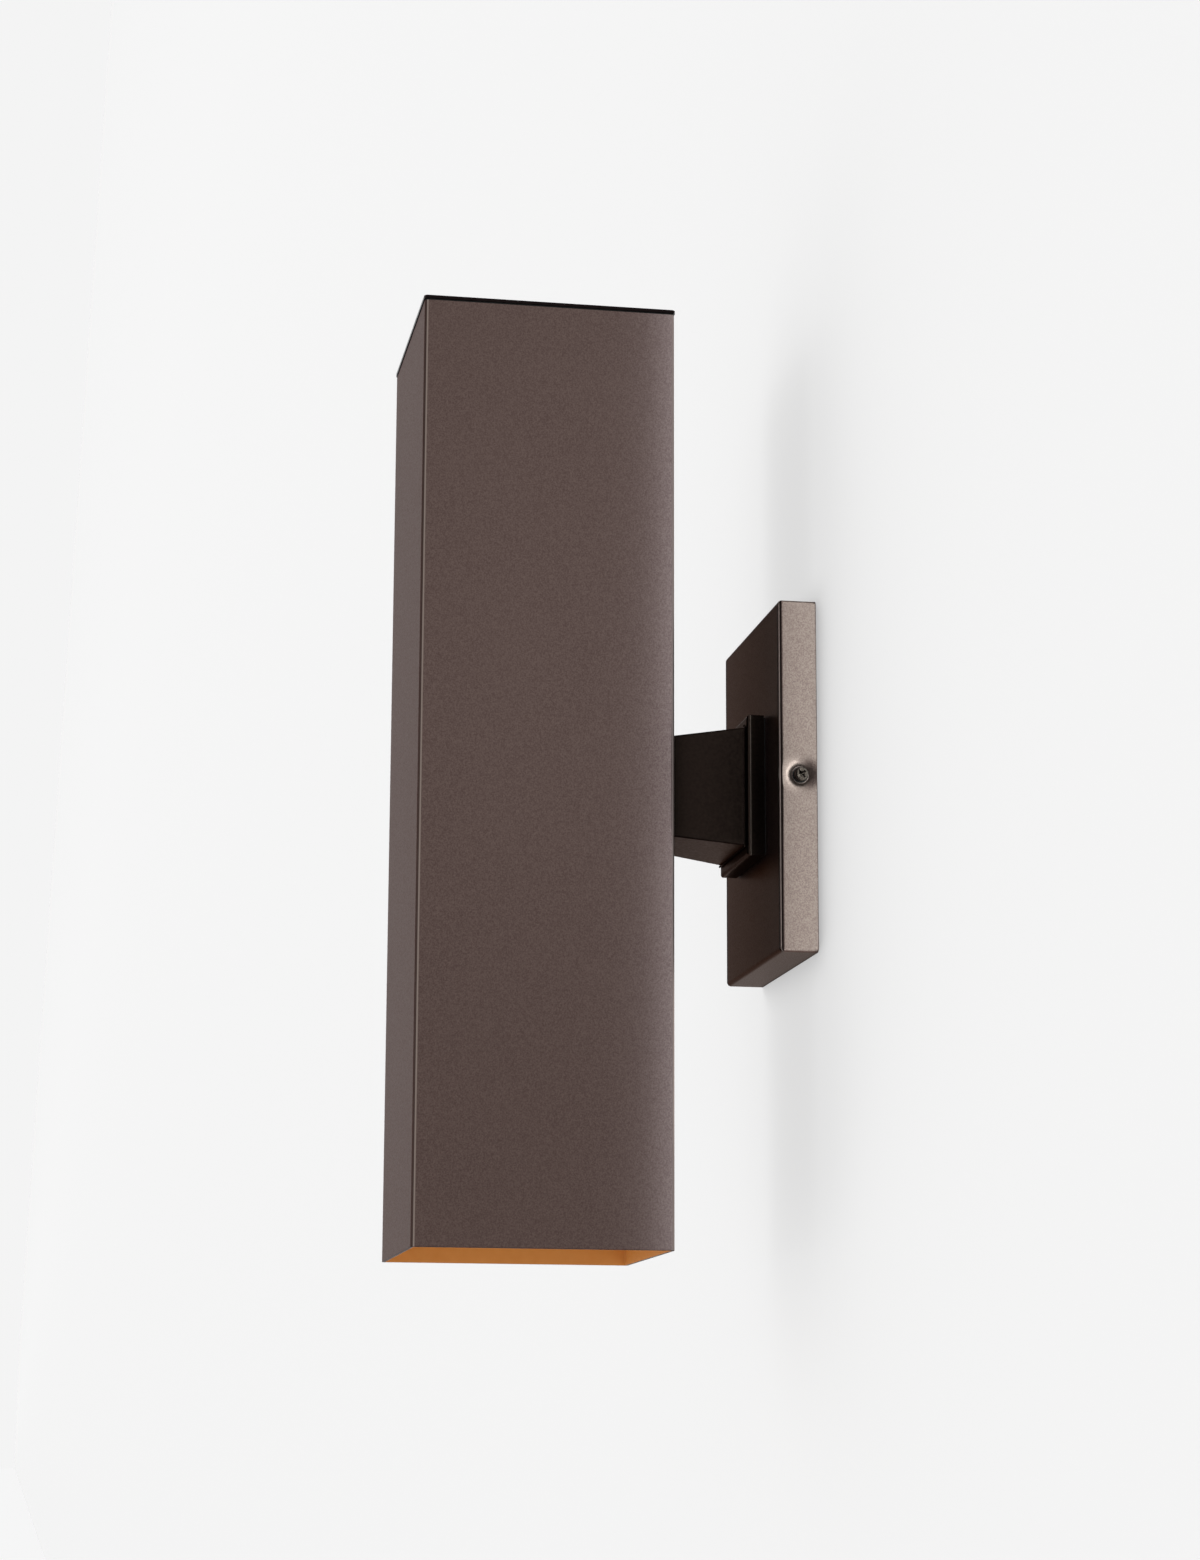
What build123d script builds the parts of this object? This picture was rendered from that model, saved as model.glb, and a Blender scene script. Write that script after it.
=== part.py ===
from build123d import *
import os

# Square up-and-down wall light for outdoors, in millimetres.
# The wall is the plane y = 0, the room lies towards -Y, +Z is up.
# The origin is the middle of the wall plate's open back, where it meets the wall.

# Lamp tube: square aluminium extrusion, open at both ends
tube_side = 123.0
tube_height = 455.0
tube_wall = 1.5
tube_corner = 2.0
tube_inner_corner = 0.6

# Wall plate: drawn steel pan, open towards the wall
plate_width = 124.0
plate_height = 172.0
plate_depth = 18.5
plate_wall = 1.6
plate_corner = 2.4
plate_edge = 2.0
plate_inner_corner = 0.8
standoff = 51.0

# Side screws of the wall plate, each in a pressed dimple that runs out at the wall
side_screw_setback = 7.85
side_screw_length = 9.5
dimple_depth = 2.2
dimple_floor_radius = 4.2
dimple_radius = 11.0
washer_radius = 3.9
washer_thickness = 0.7

# Arm: hollow casting that flares from the tube to a moulded flange
arm_tip_width = 43.2
arm_tip_height = 48.8
arm_root_width = 57.6
arm_root_height = 58.8
arm_corner = 1.0
arm_wall = 3.0
arm_tip_wall = 5.0
flange_width = 64.4
flange_height = 69.8
flange_side = 6.95
flange_round = 1.5
flange_slope = 0.1
groove_out = 0.3
groove_width = 0.25
bead_out = 1.0
bead_width = 0.5
seal_thickness = 0.8
seal_inset = 0.8
boss_radius = 4.8
boss_length = 12.0
boss_bite = 1.2

# Machine screws: the larger join tube, arm, plate and strap, the smaller hold the lampholders
screw_radius = 2.08
screw_head_radius = 3.6
screw_head_height = 2.6
screw_head_shoulder = 1.0
recess_length = 4.4
recess_width = 1.0
recess_depth = 1.4
small_screw_radius = 1.7
small_head_radius = 3.3
small_head_height = 2.2
small_head_shoulder = 0.9
tapped_clearance = 0.05
through_clearance = 0.35
bracket_screw_length = 12.0
plate_screw_length = 11.0
holder_screw_length = 9.0

# Mounting strap: bent steel bar that holds the plate to an outlet box
strap_width = 26.0
strap_gauge = 1.6
strap_bend = 2.4
strap_reach = 13.5
strap_clearance = 0.4
strap_centre_hole_radius = 4.9
box_spacing_small = 69.85
box_spacing_large = 88.9
slot_radius = 2.4
ground_screw_place = -24.0
ground_head_radius = 4.4
ground_head_height = 3.2
ground_hex_height = 1.9
ground_hex_radius = 3.7

# Foam gasket inside the plate's rim
gasket_width = 5.0
gasket_depth = 3.0
gasket_gap = 2.0

# Bracket across the tube's middle and the lampholders on it
bracket_height = 56.0
bracket_width = 34.0
bracket_gauge = 1.5
bracket_bend = 2.6
bracket_reach = 23.0
holder_radius = 19.0
holder_foot_radius = 21.0
holder_foot_height = 7.0
holder_height = 42.0
holder_floor = 12.0
holder_bore_radius = 14.6
holder_round = 1.5
holder_screw_spread = 12.0
holder_screw_hole = 8.5
lead_hole_place = 9.0
lead_hole_depth = 4.0
shell_gauge = 0.4
shell_clearance = 0.15
shell_setback = 1.5
shell_hole_radius = 8.0
tongue_width = 6.0
tongue_gauge = 0.5
tongue_reach = 5.0
tongue_rise = 3.2
tongue_bend = 0.9

# Reflector lamps, screwed into the holders
lamp_length = 117.0
lamp_radius = 47.5
lamp_neck_radius = 15.8
lamp_neck_length = 18.0
bowl_bulge_radius = 34.7
bowl_bulge_height = 25.2
lamp_rim_height = 6.0
lamp_glass = 2.4
lens_edge = 3.0
lens_crown = 3.0
base_radius = 13.2
base_height = 27.0
base_taper = 2.0
base_wall = 0.8
insulator_height = 3.4
insulator_radius = 5.6
tip_radius = 4.6
tip_height = 1.6
tip_clearance = 0.3
burner_radius = 5.0
burner_length = 26.0

# Top cover: black frame on the tube's upper end, with a glass pane set flush in it
cover_lip = 1.5
cover_overhang = 0.4
cover_skirt_wall = 2.0
cover_skirt_below = 8.0
cover_clearance = 0.4
cover_ledge_width = 4.0
cover_ledge_thickness = 2.0
rim_gasket_thickness = 0.8
rim_gasket_setback = 0.5
glass_thickness = 3.0
glass_clearance = 0.4
glass_corner = 2.0
glass_seal_thickness = 0.5
spring_width = 12.0
spring_gauge = 0.5
spring_bend = 1.5
spring_drop = 11.0
spring_clearance = 0.15
rivet_radius = 1.5
rivet_head_radius = 2.6
rivet_head_height = 0.9

# Leads: flexible wires from the holders to the connectors in the plate
lead_radius = 1.2
lead_spread = 1.7
lead_clearance = 0.25
bushing_hole_radius = 7.0
bushing_wall = 1.1
bushing_flange_radius = 9.0
bushing_flange = 1.2
bushing_clearance = 0.1
connector_radius = 5.6
connector_tip_radius = 3.6
connector_length = 22.0
connector_skirt = 8.0
connector_bore_radius = 4.0
connector_bore_depth = 6.0
connector_flutes = 8
connector_flute_radius = 0.9
connector_side = 20.0
connector_foot = 28.0
lead_turn_height = 9.0
lead_gather = 10.0
lead_fork_upper = 14.0
lead_fork_lower = 8.0
lead_holder_bend = 9.0
lead_arm_bend = 60.0
lead_fork_bend = 7.5
lead_connector_bend = 10.0
ground_wire_radius = 0.9
ring_radius = 4.2
ring_gauge = 0.8
ring_tongue = 8.0
ring_tongue_width = 2.6
ground_drop = 20.0
ground_swing_side = 20.0
ground_swing_depth = 7.0
ground_swing_drop = 36.0
ground_dip_side = 8.0
ground_dip_depth = 13.0
ground_dip = 21.0
ground_rise = 13.0
ground_swing_bend = 25.0
ground_dip_bend = 15.0
ground_plate_bend = 6.5

# Places that follow from the sizes
tube_back = -(plate_depth + standoff)
tube_middle = tube_back - tube_side / 2
tube_bore = tube_side - 2 * tube_wall
tube_inside_back = tube_back - tube_wall
tube_top = tube_height / 2
plate_face = -plate_depth
plate_inside = plate_face + plate_wall
pan_width = plate_width - 2 * plate_wall
pan_height = plate_height - 2 * plate_wall
arm_front = tube_back + seal_thickness
arm_back = plate_face - seal_thickness
moulding_depth = flange_side + flange_round + flange_slope + groove_width + bead_width
arm_root = arm_back - moulding_depth
cavity_front = arm_front + arm_tip_wall
plate_screw_spread = arm_root_height / 2 - arm_wall - boss_radius + boss_bite
bracket_screw_spread = arm_tip_height / 2 - arm_wall - boss_radius + boss_bite
screw_hole_radius = screw_radius + through_clearance
tapped_radius = screw_radius + tapped_clearance
dimple_face = plate_width / 2 - dimple_depth
strap_half = dimple_face - plate_wall - strap_clearance
slot_place = (box_spacing_small + box_spacing_large) / 4
slot_length = (box_spacing_large - box_spacing_small) / 2 + 2 * slot_radius
bracket_face = tube_inside_back - bracket_gauge
holder_seat = bracket_height / 2
holder_mouth = holder_seat + holder_height
holder_bottom = holder_seat + holder_floor
lamp_tip = holder_bottom + tongue_gauge + tongue_rise + tip_clearance
lamp_face = lamp_tip + lamp_length
cover_seat = tube_top + rim_gasket_thickness
cover_top = cover_seat + cover_lip
glass_bottom = cover_top - glass_thickness
ledge_top = glass_bottom - glass_seal_thickness
ledge_bottom = ledge_top - cover_ledge_thickness
skirt_bottom = ledge_bottom - cover_skirt_below
rivet_height = skirt_bottom + cover_skirt_below / 2
skirt_half = tube_bore / 2 - cover_clearance
skirt_inside = skirt_half - cover_skirt_wall
window_half = skirt_inside - cover_ledge_width
lead_plane = plate_inside / 2


# Shared ways of making a shape

def facing_room(y):
    return Plane(origin=(0, y, 0), x_dir=(1, 0, 0), z_dir=(0, -1, 0))


def bar_along_y(x, z, radius, start, end):
    return Pos(x, (start + end) / 2, z) * Rot(90, 0, 0) * Cylinder(radius, abs(end - start))


def block_along_y(outline, start, end):
    return extrude(facing_room(max(start, end)) * outline, abs(end - start))


def turned(lines):
    return revolve(Plane.XZ * make_face(lines), Axis.Z)


def bent_strip(points, bend, gauge, width, plane):
    path = FilletPolyline(*points, radius=bend)
    return extrude(plane * trace(path, gauge), width / 2, both=True)


def pan_screw(radius, length, head_radius, head_height, shoulder):
    crown = head_radius - (head_height - shoulder)
    screw = turned([
        Polyline((0, -length), (radius, -length), (radius, 0), (head_radius, 0), (head_radius, shoulder)),
        TangentArc((head_radius, shoulder), (crown, head_height), tangent=(0, 1)),
        Polyline((crown, head_height), (0, head_height), (0, -length)),
    ])
    slot = Pos(0, 0, head_height) * Box(recess_length, recess_width, 2 * recess_depth)
    return screw - slot - Rot(0, 0, 90) * slot


def large_screw(length):
    return pan_screw(screw_radius, length, screw_head_radius, screw_head_height, screw_head_shoulder)


def both_ends(solid):
    return solid, mirror(solid, about=Plane.XY)


def both_sides(solid):
    return solid, mirror(solid, about=Plane.YZ)


def on_lamp_axis(solid):
    return Pos(0, tube_middle, 0) * solid


# Tube, arm and wall plate

def lamp_tube():
    section = RectangleRounded(tube_side, tube_side, tube_corner)
    section -= RectangleRounded(tube_bore, tube_bore, tube_inner_corner)
    tube = Pos(0, tube_middle, -tube_top) * extrude(section, tube_height)
    tube -= bar_along_y(0, 0, bushing_hole_radius, tube_back, tube_inside_back)
    for z in (-bracket_screw_spread, bracket_screw_spread):
        tube -= bar_along_y(0, z, screw_hole_radius, tube_back, tube_inside_back)
    return tube


def moulding_outline(root_half, flange_half):
    shoulder = arm_back - flange_side
    face = shoulder - flange_round
    groove = face - flange_slope
    bead = groove - groove_width
    half = make_face([
        Polyline((0, arm_back), (flange_half, arm_back), (flange_half, shoulder)),
        TangentArc((flange_half, shoulder), (flange_half - flange_round, face), tangent=(0, -1)),
        Polyline((flange_half - flange_round, face), (root_half + groove_out, groove),
                 (root_half + groove_out, bead)),
        ThreePointArc((root_half + groove_out, bead), (root_half + bead_out, bead - bead_width / 2),
                      (root_half, arm_root)),
        Polyline((root_half, arm_root), (0, arm_root), (0, arm_back)),
    ])
    return half + mirror(half, about=Plane.YZ)


def arm_moulding():
    wide = moulding_outline(arm_root_width / 2, flange_width / 2)
    high = moulding_outline(arm_root_height / 2, flange_height / 2)
    upright = Plane(origin=(0, 0, 0), x_dir=(0, 0, 1), z_dir=(-1, 0, 0))
    return extrude(wide, flange_height, both=True) & extrude(upright * high, flange_width, both=True)


def flared_block(inset, front):
    tip = Rectangle(arm_tip_width - 2 * inset, arm_tip_height - 2 * inset)
    root = Rectangle(arm_root_width - 2 * inset, arm_root_height - 2 * inset)
    return loft([facing_room(arm_root) * root, facing_room(front) * tip], ruled=True)


def wall_arm():
    cavity_width = arm_root_width - 2 * arm_wall
    cavity_height = arm_root_height - 2 * arm_wall
    body = flared_block(0, arm_front)
    edges = body.edges()
    long_edges = edges - edges.filter_by(Axis.X) - edges.filter_by(Axis.Z)
    arm = fillet(long_edges, arm_corner) + arm_moulding()
    arm -= flared_block(arm_wall, cavity_front)
    arm -= block_along_y(Rectangle(cavity_width, cavity_height), arm_root, arm_back)
    arm -= bar_along_y(0, 0, bushing_hole_radius, arm_front, cavity_front)
    for side in (-1, 1):
        tip_place = side * bracket_screw_spread
        arm += bar_along_y(0, tip_place, boss_radius, arm_front, arm_front + boss_length)
        arm -= bar_along_y(0, tip_place, tapped_radius, arm_front, arm_front + bracket_screw_length)
        root_place = side * plate_screw_spread
        arm += bar_along_y(0, root_place, boss_radius, arm_back, arm_back - boss_length)
        arm -= bar_along_y(0, root_place, tapped_radius, arm_back, arm_back - plate_screw_length)
    return arm


def arm_seal(width, height, start, end, screw_spread):
    outline = RectangleRounded(width - 2 * seal_inset, height - 2 * seal_inset, arm_corner)
    seal = block_along_y(outline, start, end)
    seal -= bar_along_y(0, 0, bushing_hole_radius, start, end)
    for z in (-screw_spread, screw_spread):
        seal -= bar_along_y(0, z, screw_hole_radius, start, end)
    return seal


def arm_seals():
    at_tube = arm_seal(arm_tip_width, arm_tip_height, tube_back, arm_front, bracket_screw_spread)
    at_plate = arm_seal(flange_width, flange_height, arm_back, plate_face, plate_screw_spread)
    return at_tube, at_plate


def dimple_outline(floor_radius, rim_radius, depth, surface):
    floor = surface - depth
    slope = TangentArc((rim_radius, surface), (floor_radius, floor), tangent=(-1, 0))
    closing = Polyline((floor_radius, floor), (0, floor), (0, surface), (rim_radius, surface))
    return [slope, closing]


def side_dimples(surface):
    dimple = turned(dimple_outline(dimple_floor_radius, dimple_radius, dimple_depth, surface))
    return both_sides(Pos(0, -side_screw_setback, 0) * Rot(0, 90, 0) * dimple)


def wall_plate():
    inner_outline = RectangleRounded(pan_width, pan_height, plate_inner_corner)
    block = block_along_y(RectangleRounded(plate_width, plate_height, plate_corner), 0, plate_face)
    block = fillet(block.faces().sort_by(Axis.Y)[0].edges(), plate_edge)
    plate = block - block_along_y(inner_outline, 0, plate_inside)
    room_side = block_along_y(Rectangle(2 * plate_width, plate_height), 0, plate_face)
    for bulge in side_dimples(plate_width / 2 - plate_wall):
        plate += bulge & room_side
    for dimple in side_dimples(plate_width / 2):
        plate -= dimple
    plate -= bar_along_y(0, 0, bushing_hole_radius, plate_face, plate_inside)
    for z in (-plate_screw_spread, plate_screw_spread):
        plate -= bar_along_y(0, z, screw_hole_radius, plate_face, plate_inside)
    side_hole = Rot(0, 90, 0) * Cylinder(screw_hole_radius, 2 * plate_width)
    return plate - Pos(0, -side_screw_setback, 0) * side_hole


def bracket_screws():
    screw = Rot(90, 0, 0) * large_screw(bracket_screw_length)
    return both_ends(Pos(0, bracket_face, bracket_screw_spread) * screw)


def plate_screws():
    screw = Rot(-90, 0, 0) * large_screw(plate_screw_length)
    upper = Pos(0, plate_inside, plate_screw_spread) * screw
    lower = Pos(0, plate_inside + ring_gauge, -plate_screw_spread) * screw
    return upper, lower


def side_screw():
    screw = Rot(0, 90, 0) * large_screw(side_screw_length)
    return Pos(dimple_face + washer_thickness, -side_screw_setback, 0) * screw


def side_washer():
    washer = Cylinder(washer_radius, washer_thickness) - Cylinder(tapped_radius, washer_thickness)
    return Pos(dimple_face + washer_thickness / 2, -side_screw_setback, 0) * Rot(0, 90, 0) * washer


# What stays on the wall: strap, ground screw and gasket

def mounting_strap():
    middle = strap_half - strap_gauge / 2
    depth = -strap_gauge / 2
    points = [(-middle, -strap_reach), (-middle, depth), (middle, depth), (middle, -strap_reach)]
    strap = bent_strip(points, strap_bend, strap_gauge, strap_width, Plane.XY)
    slot = SlotOverall(slot_length, 2 * slot_radius)
    for x in (-slot_place, slot_place):
        strap -= block_along_y(Pos(x, 0) * slot, 0, -strap_gauge)
    strap -= bar_along_y(0, 0, strap_centre_hole_radius, 0, -strap_gauge)
    strap -= bar_along_y(ground_screw_place, 0, tapped_radius, 0, -strap_gauge)
    side_hole = Pos(0, -side_screw_setback, 0) * Rot(0, 90, 0) * Cylinder(tapped_radius, 2 * strap_half)
    return strap - side_hole


def ground_screw():
    seat = -(strap_gauge + ring_gauge)
    face = seat - ground_head_height
    washer = bar_along_y(ground_screw_place, 0, ground_head_radius, seat, face + ground_hex_height)
    hexagon = RegularPolygon(ground_hex_radius, 6)
    head = block_along_y(Pos(ground_screw_place, 0) * hexagon, seat, face)
    shank = bar_along_y(ground_screw_place, 0, screw_radius, seat, 0)
    return washer + head + shank


def wall_gasket():
    ring = RectangleRounded(pan_width, pan_height, plate_inner_corner)
    ring -= Rectangle(pan_width - 2 * gasket_width, pan_height - 2 * gasket_width)
    ring -= Rectangle(plate_width, strap_width + 2 * gasket_gap)
    return block_along_y(ring, 0, -gasket_depth)


# Bracket and lampholders

def holder_bracket():
    middle = bracket_height / 2 - bracket_gauge / 2
    web = tube_inside_back - bracket_gauge / 2
    end = tube_middle - bracket_reach
    points = [(end, middle), (web, middle), (web, -middle), (end, -middle)]
    bracket = bent_strip(points, bracket_bend, bracket_gauge, bracket_width, Plane.YZ)
    bracket -= bar_along_y(0, 0, bushing_hole_radius, bracket_face, tube_inside_back)
    for z in (-bracket_screw_spread, bracket_screw_spread):
        bracket -= bar_along_y(0, z, screw_hole_radius, bracket_face, tube_inside_back)
    for side in (-1, 1):
        screw_place = tube_middle + side * holder_screw_spread
        bracket -= Pos(0, screw_place, 0) * Cylinder(small_screw_radius + through_clearance, bracket_height)
        lead_place = side * lead_hole_place
        bracket -= Pos(lead_place, tube_middle, 0) * Cylinder(lead_radius + lead_clearance, bracket_height)
    return bracket


def holder_body():
    waist = holder_seat + holder_foot_height
    slope = waist + holder_foot_radius - holder_radius
    lip = holder_mouth - holder_round
    lip_radius = holder_radius - holder_round
    body = turned([
        Polyline((0, holder_seat), (holder_foot_radius, holder_seat), (holder_foot_radius, waist),
                 (holder_radius, slope), (holder_radius, lip)),
        TangentArc((holder_radius, lip), (lip_radius, holder_mouth), tangent=(0, 1)),
        Polyline((lip_radius, holder_mouth), (holder_bore_radius, holder_mouth),
                 (holder_bore_radius, holder_bottom), (0, holder_bottom), (0, holder_seat)),
    ])
    bottom = (Align.CENTER, Align.CENTER, Align.MIN)
    for side in (-1, 1):
        screw_hole = Cylinder(small_screw_radius + tapped_clearance, holder_screw_hole, align=bottom)
        body -= Pos(0, side * holder_screw_spread, holder_seat) * screw_hole
        lead_hole = Cylinder(lead_radius + lead_clearance, lead_hole_depth, align=bottom)
        body -= Pos(side * lead_hole_place, 0, holder_seat) * lead_hole
    return on_lamp_axis(body)


def holder_shell():
    outer = holder_bore_radius - shell_clearance
    inner = outer - shell_gauge
    top = holder_mouth - shell_setback
    floor = holder_bottom + shell_gauge
    outline = Polyline((shell_hole_radius, holder_bottom), (outer, holder_bottom), (outer, top),
                       (inner, top), (inner, floor), (shell_hole_radius, floor),
                       (shell_hole_radius, holder_bottom))
    return on_lamp_axis(turned([outline]))


def holder_contact():
    low = holder_bottom + tongue_gauge / 2
    high = low + tongue_rise
    points = [(-tongue_reach, low), (tongue_reach, low), (tongue_reach, high), (-tongue_reach / 2, high)]
    return on_lamp_axis(bent_strip(points, tongue_bend, tongue_gauge, tongue_width, Plane.XZ))


def holder_screws():
    screw = pan_screw(small_screw_radius, holder_screw_length, small_head_radius, small_head_height,
                      small_head_shoulder)
    screws = []
    for side in (-1, 1):
        place = Pos(0, tube_middle + side * holder_screw_spread, holder_seat - bracket_gauge)
        screws += both_ends(place * Rot(180, 0, 0) * screw)
    return screws


# Reflector lamp, standing on its tip in the upper holder

def lamp_contact():
    top = lamp_tip + tip_height
    dome = turned([
        TangentArc((0, lamp_tip), (tip_radius, top), tangent=(1, 0)),
        Polyline((tip_radius, top), (0, top), (0, lamp_tip)),
    ])
    return on_lamp_axis(dome)


def lamp_insulator():
    low = lamp_tip + tip_height
    high = low + insulator_height
    top_radius = base_radius - base_taper
    outline = Polyline((0, low), (insulator_radius, low), (top_radius, high), (0, high), (0, low))
    return on_lamp_axis(turned([outline]))


def lamp_base():
    low = lamp_tip + tip_height + insulator_height
    high = lamp_tip + base_height
    floor = low + base_wall
    inside = base_radius - base_wall
    outline = Polyline((0, low), (base_radius - base_taper, low), (base_radius, low + base_taper),
                       (base_radius, high), (inside, high), (inside, floor + base_taper),
                       (inside - base_taper, floor), (0, floor), (0, low))
    return on_lamp_axis(turned([outline]))


def lamp_reflector():
    low = lamp_tip + base_height
    neck_top = low + lamp_neck_length
    rim = lamp_face - lens_edge - lens_crown
    rim_foot = rim - lamp_rim_height
    bowl_radius = lamp_radius - lamp_glass / 2
    bulge = (bowl_bulge_radius, neck_top + bowl_bulge_height)
    neck_bore = base_radius - base_wall
    inside_low = neck_top + lamp_glass
    inside_radius = lamp_neck_radius - lamp_glass
    inside_bulge = (bulge[0] - lamp_glass, bulge[1] + lamp_glass)
    inside_rim = bowl_radius - lamp_glass
    reflector = turned([
        Polyline((neck_bore, low), (lamp_neck_radius, low), (lamp_neck_radius, neck_top)),
        ThreePointArc((lamp_neck_radius, neck_top), bulge, (bowl_radius, rim_foot)),
        Polyline((bowl_radius, rim_foot), (lamp_radius, rim_foot), (lamp_radius, rim), (inside_rim, rim),
                 (inside_rim, rim_foot)),
        ThreePointArc((inside_rim, rim_foot), inside_bulge, (inside_radius, inside_low)),
        Polyline((inside_radius, inside_low), (0, inside_low), (0, neck_top), (neck_bore, neck_top),
                 (neck_bore, low)),
    ])
    return on_lamp_axis(reflector)


def lamp_burner():
    low = lamp_tip + base_height + lamp_neck_length + lamp_glass
    high = low + burner_length
    shoulder = high - burner_radius
    burner = turned([
        Polyline((0, low), (burner_radius, low), (burner_radius, shoulder)),
        TangentArc((burner_radius, shoulder), (0, high), tangent=(0, 1)),
        Line((0, high), (0, low)),
    ])
    return on_lamp_axis(burner)


def lamp_lens():
    rim = lamp_face - lens_edge - lens_crown
    edge = rim + lens_edge
    inside = lamp_radius - lens_edge
    lens = turned([
        TangentArc((0, lamp_face), (lamp_radius, edge), tangent=(1, 0)),
        Polyline((lamp_radius, edge), (lamp_radius, rim), (inside, rim)),
        TangentArc((0, lamp_face - lens_edge), (inside, rim), tangent=(1, 0)),
        Line((0, lamp_face - lens_edge), (0, lamp_face)),
    ])
    return on_lamp_axis(lens)


# Top cover

def square_ring(outer_half, inner_half, low, high, outer_corner, inner_corner):
    ring = RectangleRounded(2 * outer_half, 2 * outer_half, outer_corner)
    ring -= RectangleRounded(2 * inner_half, 2 * inner_half, inner_corner)
    return on_lamp_axis(Pos(0, 0, low) * extrude(ring, high - low))


def top_frame():
    lip_half = tube_side / 2 + cover_overhang
    lip = square_ring(lip_half, skirt_inside, cover_seat, cover_top, tube_corner, glass_corner)
    skirt = square_ring(skirt_half, skirt_inside, skirt_bottom, cover_seat, glass_corner, glass_corner)
    ledge = square_ring(skirt_half, window_half, ledge_bottom, ledge_top, glass_corner, glass_corner)
    frame = lip + skirt + ledge
    for side in (-1, 1):
        rivet_hole = Rot(0, 90, 0) * Cylinder(rivet_radius, cover_skirt_wall)
        frame -= on_lamp_axis(Pos(side * (skirt_half + skirt_inside) / 2, 0, rivet_height) * rivet_hole)
    return frame


def top_glass():
    half = skirt_inside - glass_clearance
    pane = extrude(RectangleRounded(2 * half, 2 * half, glass_corner), glass_thickness)
    return on_lamp_axis(Pos(0, 0, glass_bottom) * pane)


def glass_seal():
    half = skirt_inside - glass_clearance
    return square_ring(half, window_half, ledge_top, glass_bottom, glass_corner, glass_corner)


def rim_gasket():
    half = tube_side / 2 - rim_gasket_setback
    return square_ring(half, skirt_half, tube_top, cover_seat, tube_corner, glass_corner)


def cover_spring():
    flat = skirt_inside - spring_gauge / 2
    touch = tube_bore / 2 - spring_gauge / 2 - spring_clearance
    top = ledge_bottom - spring_gauge
    knee = skirt_bottom - spring_bend
    points = [(flat, top), (flat, knee), (touch, knee - spring_drop / 2), (flat, knee - spring_drop)]
    spring = bent_strip(points, spring_bend, spring_gauge, spring_width, Plane.XZ)
    spring -= Pos(flat, 0, rivet_height) * Rot(0, 90, 0) * Cylinder(rivet_radius, 2 * spring_gauge)
    return on_lamp_axis(spring)


def spring_rivet():
    head = skirt_inside - spring_gauge
    end = head - skirt_half
    rivet = turned([
        Polyline((0, end), (rivet_radius, end), (rivet_radius, 0), (rivet_head_radius, 0)),
        TangentArc((0, rivet_head_height), (rivet_head_radius, 0), tangent=(1, 0)),
        Line((0, rivet_head_height), (0, end)),
    ])
    return on_lamp_axis(Pos(head, 0, rivet_height) * Rot(0, -90, 0) * rivet)


# Wiring held inside tube, arm and plate

def bushing(start, end, flange_end):
    outer = bushing_hole_radius - bushing_clearance
    piece = bar_along_y(0, 0, outer, start, end)
    piece += bar_along_y(0, 0, bushing_flange_radius, start, flange_end)
    return piece - bar_along_y(0, 0, outer - bushing_wall, flange_end, end)


def lead_bushings():
    at_tube = bushing(bracket_face, cavity_front, bracket_face - bushing_flange)
    at_plate = bushing(plate_inside, arm_back, plate_inside + bushing_flange)
    return at_tube, at_plate


def wire(name, points, radii, radius):
    path = FilletPolyline(*points, radius=radii)
    start = Plane(origin=path @ 0, z_dir=path % 0)
    tube = sweep(start * Circle(radius), path=path)
    fill = tube.volume / (Circle(radius).area * path.length)
    print(name, "length", round(path.length, 1), "radii", radii, "fill", round(fill, 4))
    return tube


def lead_pair(name):
    fork = connector_side - lead_spread
    bore_end = connector_foot + connector_bore_depth
    inner_route = [
        (lead_hole_place, tube_middle, holder_seat + lead_hole_depth),
        (lead_hole_place, tube_middle, lead_turn_height),
        (lead_spread, bracket_face - lead_gather, lead_spread),
        (lead_spread, lead_plane, lead_spread),
        (fork, lead_plane, lead_fork_upper),
        (fork, lead_plane, bore_end),
    ]
    outer_route = [
        (lead_hole_place, tube_middle, -holder_seat - lead_hole_depth),
        (lead_hole_place, tube_middle, -lead_turn_height),
        (lead_spread, bracket_face - lead_gather, -lead_spread),
        (lead_spread, lead_plane, -lead_spread),
        (fork + 2 * lead_spread, lead_plane, lead_fork_lower),
        (fork + 2 * lead_spread, lead_plane, bore_end),
    ]
    bends = [lead_holder_bend, lead_arm_bend, lead_fork_bend, lead_connector_bend]
    upper = wire(name + " upper", inner_route, bends, lead_radius)
    lower = wire(name + " lower", outer_route, bends, lead_radius)
    return upper, lower


def wire_connector():
    top = connector_foot + connector_length
    floor = connector_foot + connector_bore_depth
    connector = turned([
        Polyline((connector_bore_radius, connector_foot), (connector_radius, connector_foot),
                 (connector_radius, connector_foot + connector_skirt), (connector_tip_radius, top),
                 (0, top), (0, floor), (connector_bore_radius, floor),
                 (connector_bore_radius, connector_foot)),
    ])
    flute = Pos(0, 0, connector_length / 2) * Cylinder(connector_flute_radius, connector_length)
    ring = PolarLocations(connector_radius, connector_flutes)
    for place in ring:
        connector -= Pos(0, 0, connector_foot + connector_skirt) * place * flute
    return Pos(connector_side, lead_plane, 0) * connector


def ring_terminal(x, z, seat, face):
    tongue = Pos(x, z - ring_tongue / 2) * Rectangle(ring_tongue_width, ring_tongue)
    terminal = bar_along_y(x, z, ring_radius, seat, face) + block_along_y(tongue, seat, face)
    return terminal - bar_along_y(x, z, tapped_radius, seat, face)


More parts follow.
